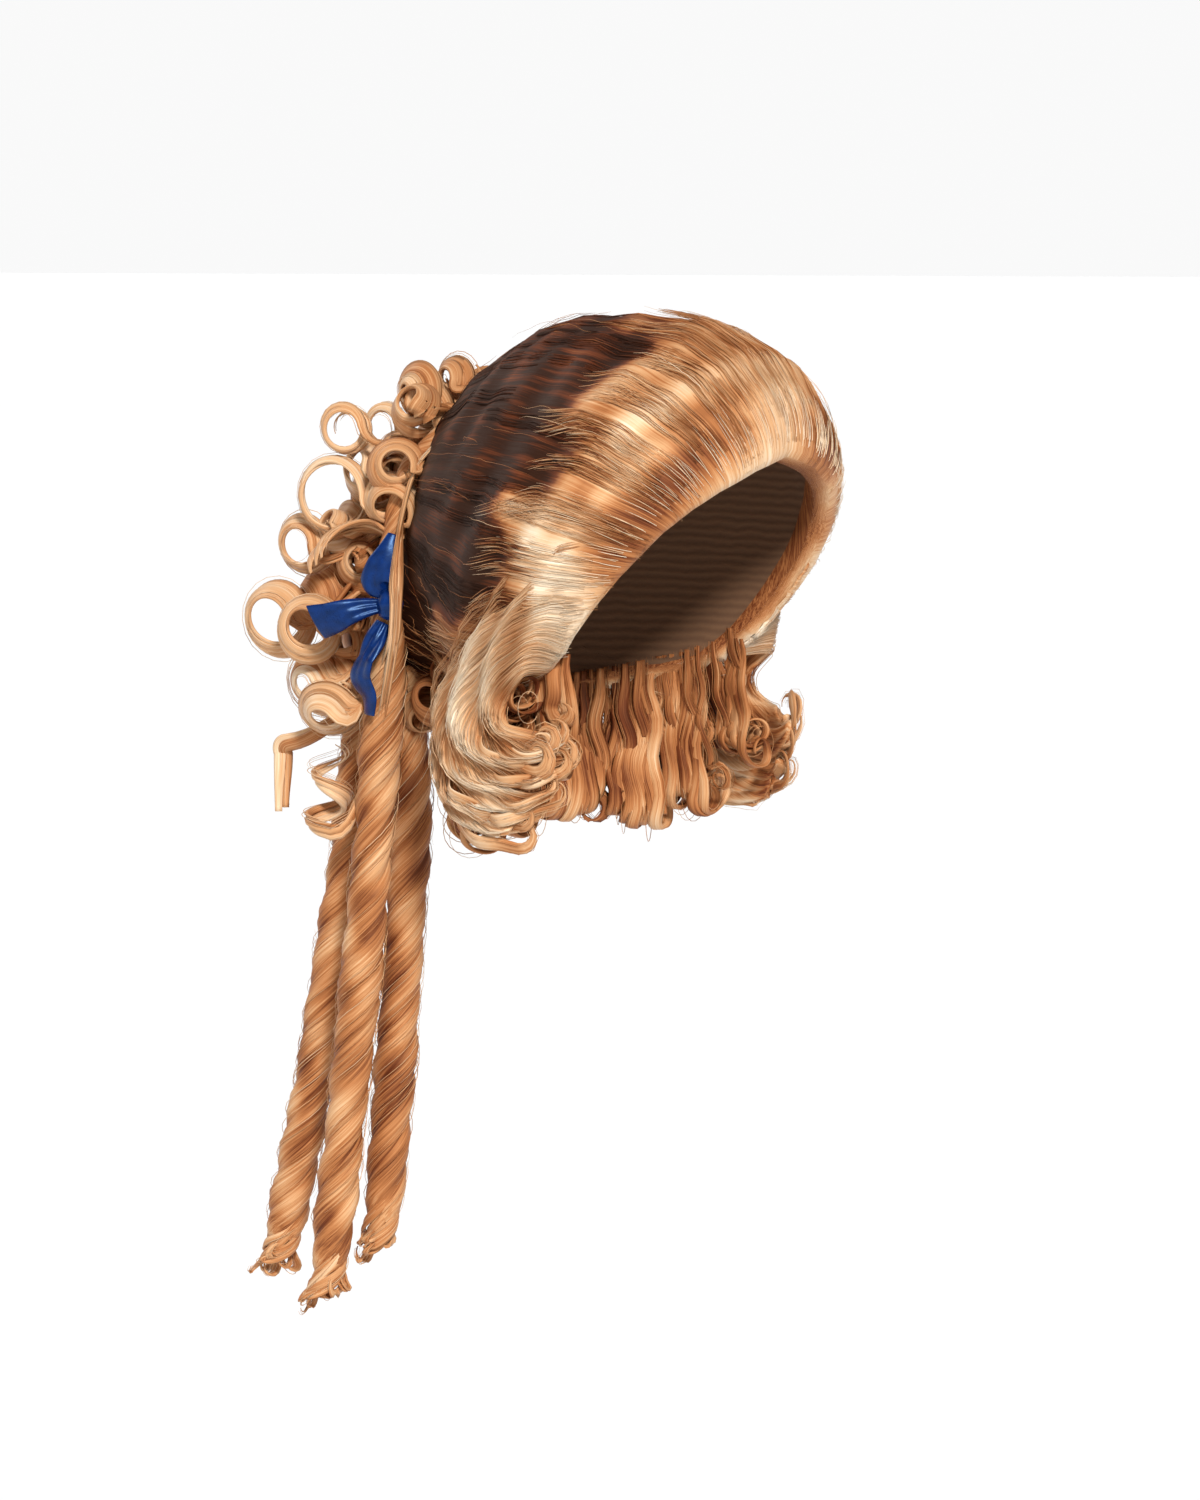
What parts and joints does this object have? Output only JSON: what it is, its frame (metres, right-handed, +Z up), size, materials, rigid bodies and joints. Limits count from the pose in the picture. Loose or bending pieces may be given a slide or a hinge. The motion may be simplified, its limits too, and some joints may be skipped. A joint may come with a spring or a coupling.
{
  "type": "ringlet wig",
  "caption": "Child's golden ringlet wig, combed back from a rolled hairline, with pinned curls behind, long ringlets at the right and a blue satin bow.",
  "frame": {"origin": "the point inside the crown where the top of the head bears", "axes": "+Z up along the wearer's head, -Y the way the face looks, -X towards the wearer's right"},
  "size_m": [0.1774, 0.2678, 0.4171],
  "materials": {
    "hair_light": "soft golden sheen",
    "hair_deep": "warm brown-gold sheen",
    "satin": "royal blue satin"
  },
  "bodies": {
    "root": {"crown_hair": "hair_light", "ringlet_1": "hair_deep", "ringlet_2": "hair_deep", "ringlet_3": "hair_deep", "bow_knot": "satin", "bow_left_end": "satin", "bow_lower_end": "satin", "bow_upper_loop": "satin", "top_curl_1": "hair_light", "top_curl_2": "hair_light", "back_curl_01": "hair_light", "back_curl_02": "hair_light", "back_curl_03": "hair_light", "back_curl_04": "hair_light", "back_curl_05": "hair_light", "back_curl_06": "hair_light", "back_curl_07": "hair_light", "back_curl_08": "hair_light", "back_curl_09": "hair_light", "back_curl_10": "hair_light", "back_curl_11": "hair_light", "back_curl_12": "hair_light", "back_curl_13": "hair_light", "left_curl_01": "hair_light", "left_curl_03": "hair_light", "left_curl_05": "hair_light", "left_curl_07": "hair_light", "left_curl_08": "hair_light", "left_curl_09": "hair_light", "left_curl_10": "hair_light", "nape_curl_left_1": "hair_deep", "nape_curl_left_2": "hair_deep", "nape_curl_left_3": "hair_deep", "nape_curl_left_4": "hair_deep", "nape_curl_left_5": "hair_deep", "nape_curl_left_6": "hair_deep", "nape_curl_right_1": "hair_deep", "nape_curl_right_2": "hair_deep", "nape_curl_right_3": "hair_deep", "nape_curl_right_4": "hair_deep", "nape_curl_right_5": "hair_deep", "nape_curl_right_6": "hair_deep"}
  },
  "joints": []
}
